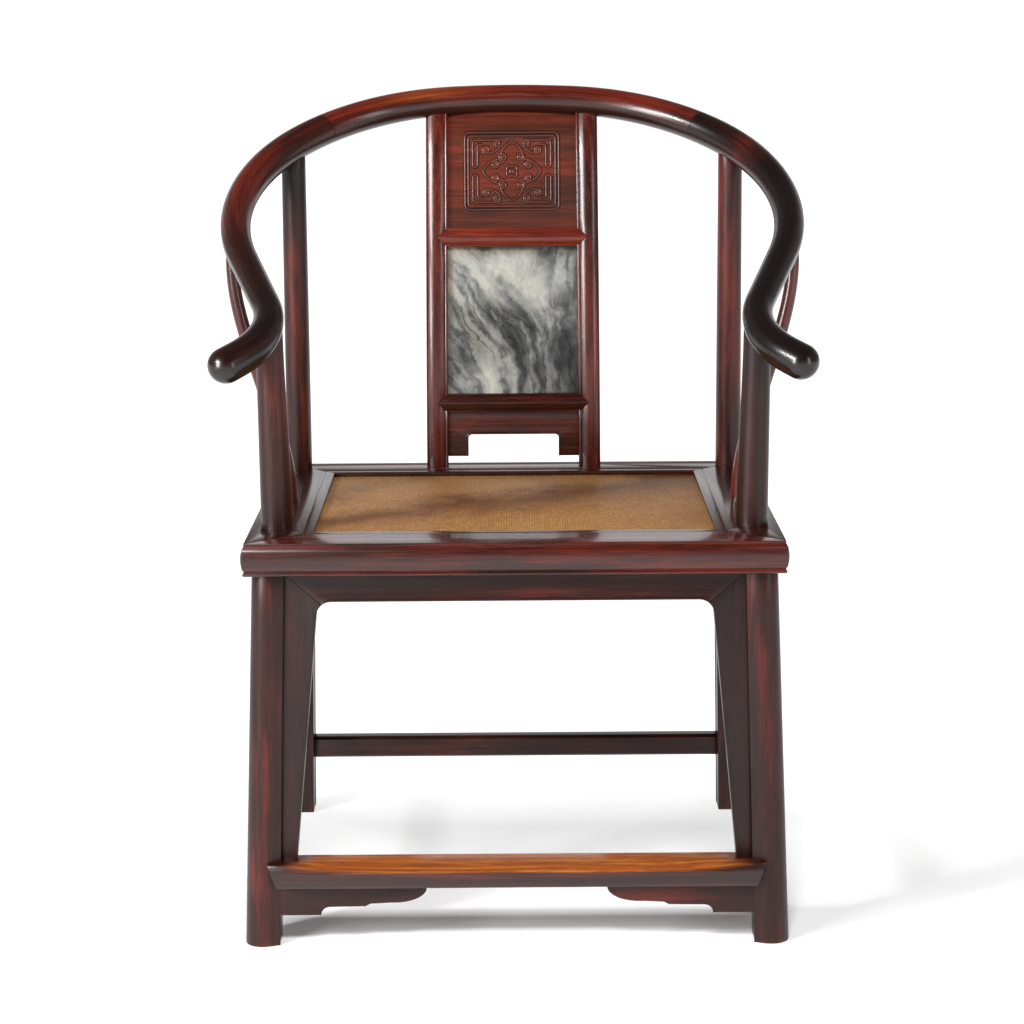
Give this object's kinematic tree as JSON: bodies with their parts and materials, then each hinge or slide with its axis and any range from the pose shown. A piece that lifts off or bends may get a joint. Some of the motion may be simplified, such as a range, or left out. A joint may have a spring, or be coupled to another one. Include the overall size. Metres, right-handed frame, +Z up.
{
  "type": "horseshoe-back armchair",
  "caption": "Wooden armchair with a continuous curved rail for back and arms, a panelled splat set with marble, a woven mat seat, arched aprons and a footrest.",
  "frame": {"origin": "on the floor under the middle of the chair's box", "axes": "+Z up, -Y is the front, +X is to the right of someone who looks at the front"},
  "size_m": [0.7014, 0.5292, 0.974],
  "materials": {
    "wood": "polished dark red-brown hardwood",
    "dark_wood": "polished near-black hardwood",
    "worn_wood": "polished golden-brown hardwood, worn",
    "woven_mat": "fine woven cane, matt",
    "marble": "polished white marble with dark grey veins"
  },
  "bodies": {
    "root": {"front_leg_left": "wood", "front_leg_right": "wood", "rear_leg_left": "wood", "rear_leg_right": "wood", "front_post_left": "wood", "front_post_right": "wood", "side_post_left": "wood", "side_post_right": "wood", "arm_rail_back": "worn_wood", "arm_rail_left": "dark_wood", "arm_rail_right": "dark_wood", "rail_peg_left": "dark_wood", "rail_peg_right": "dark_wood", "splat_stile_left": "wood", "splat_stile_right": "wood", "splat_middle_rail": "wood", "splat_lower_rail": "wood", "splat_carved_panel": "wood", "splat_marble": "marble", "splat_lower_panel": "wood", "seat_frame_front": "wood", "seat_frame_back": "wood", "seat_frame_left": "wood", "seat_frame_right": "wood", "mat_strip_front": "dark_wood", "mat_strip_back": "dark_wood", "mat_strip_left": "dark_wood", "mat_strip_right": "dark_wood", "seat_mat": "woven_mat", "seat_board": "worn_wood", "seat_batten_left": "worn_wood", "seat_batten_right": "worn_wood", "front_apron": "wood", "front_apron_side_left": "wood", "front_apron_side_right": "wood", "flank_apron_left": "wood", "flank_apron_right": "wood", "flank_upright_front_left": "wood", "flank_upright_front_right": "wood", "flank_upright_rear_left": "wood", "flank_upright_rear_right": "wood", "back_apron": "wood", "footrest": "worn_wood", "footrest_bracket_left": "wood", "footrest_bracket_right": "wood", "side_stretcher_left": "wood", "side_stretcher_right": "wood", "back_stretcher": "wood"}
  },
  "joints": []
}
